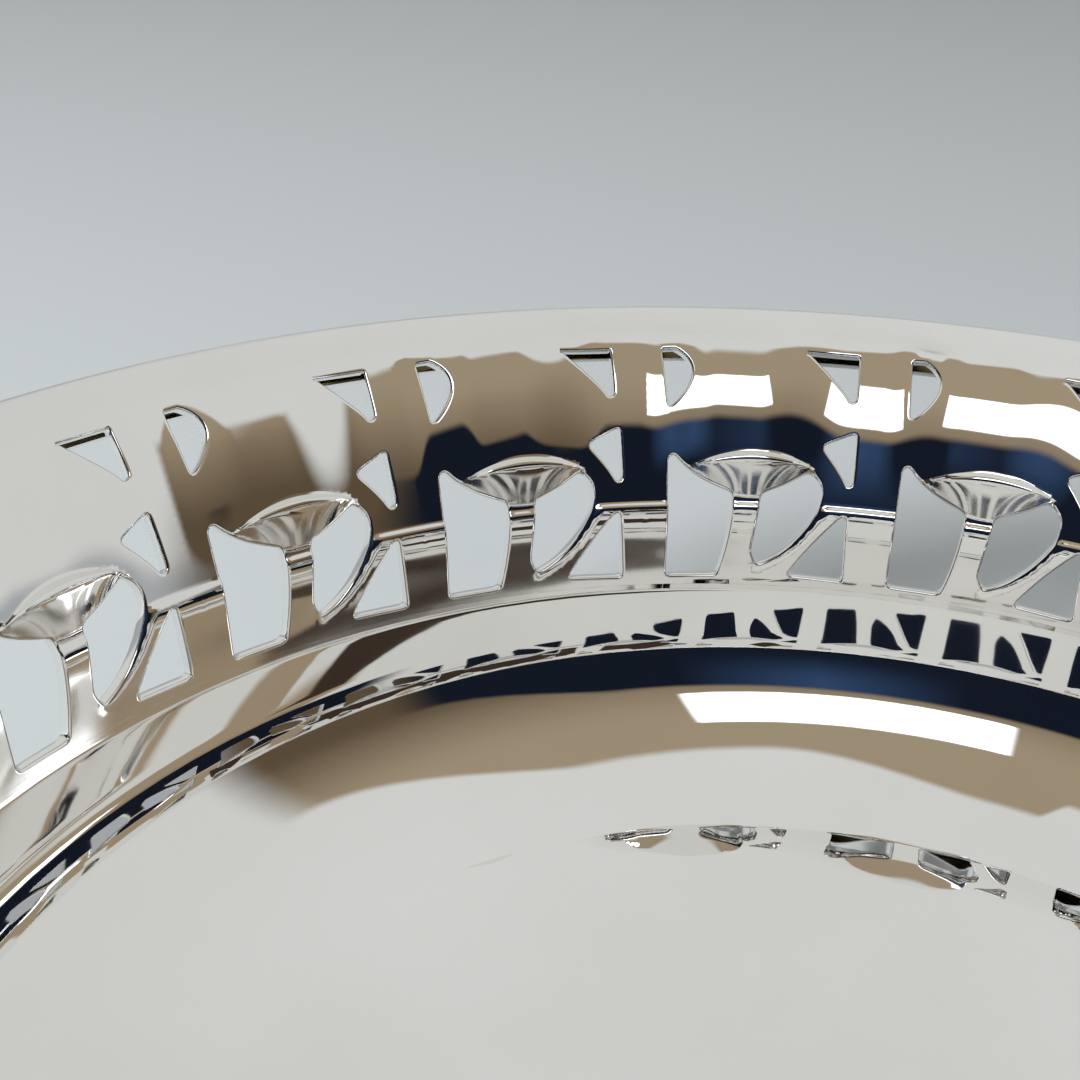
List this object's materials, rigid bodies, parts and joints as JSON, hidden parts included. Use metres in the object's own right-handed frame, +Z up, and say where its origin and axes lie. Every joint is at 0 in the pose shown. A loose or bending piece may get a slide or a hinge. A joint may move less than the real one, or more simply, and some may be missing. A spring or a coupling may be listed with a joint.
{
  "type": "silver-plated basket",
  "caption": "Round silver-plated table basket with a plain polished well, a pierced and flared gallery, a rolled rim and a low foot ring.",
  "frame": {"origin": "middle of the foot ring's underside, where the basket rests", "axes": "+Z up along the basket's axis; posts of the pattern lie on +X, +Y, -X and -Y"},
  "size_m": [0.1894, 0.1894, 0.0591],
  "materials": {
    "silver_plate": "polished silver plate over brass, softly worn",
    "core_wire": "drawn brass wire"
  },
  "bodies": {
    "root": {"well": "silver_plate", "gallery_back": "silver_plate", "gallery_right": "silver_plate", "gallery_front": "silver_plate", "gallery_left": "silver_plate", "rim_wire": "core_wire", "foot_ring": "silver_plate"}
  },
  "joints": []
}
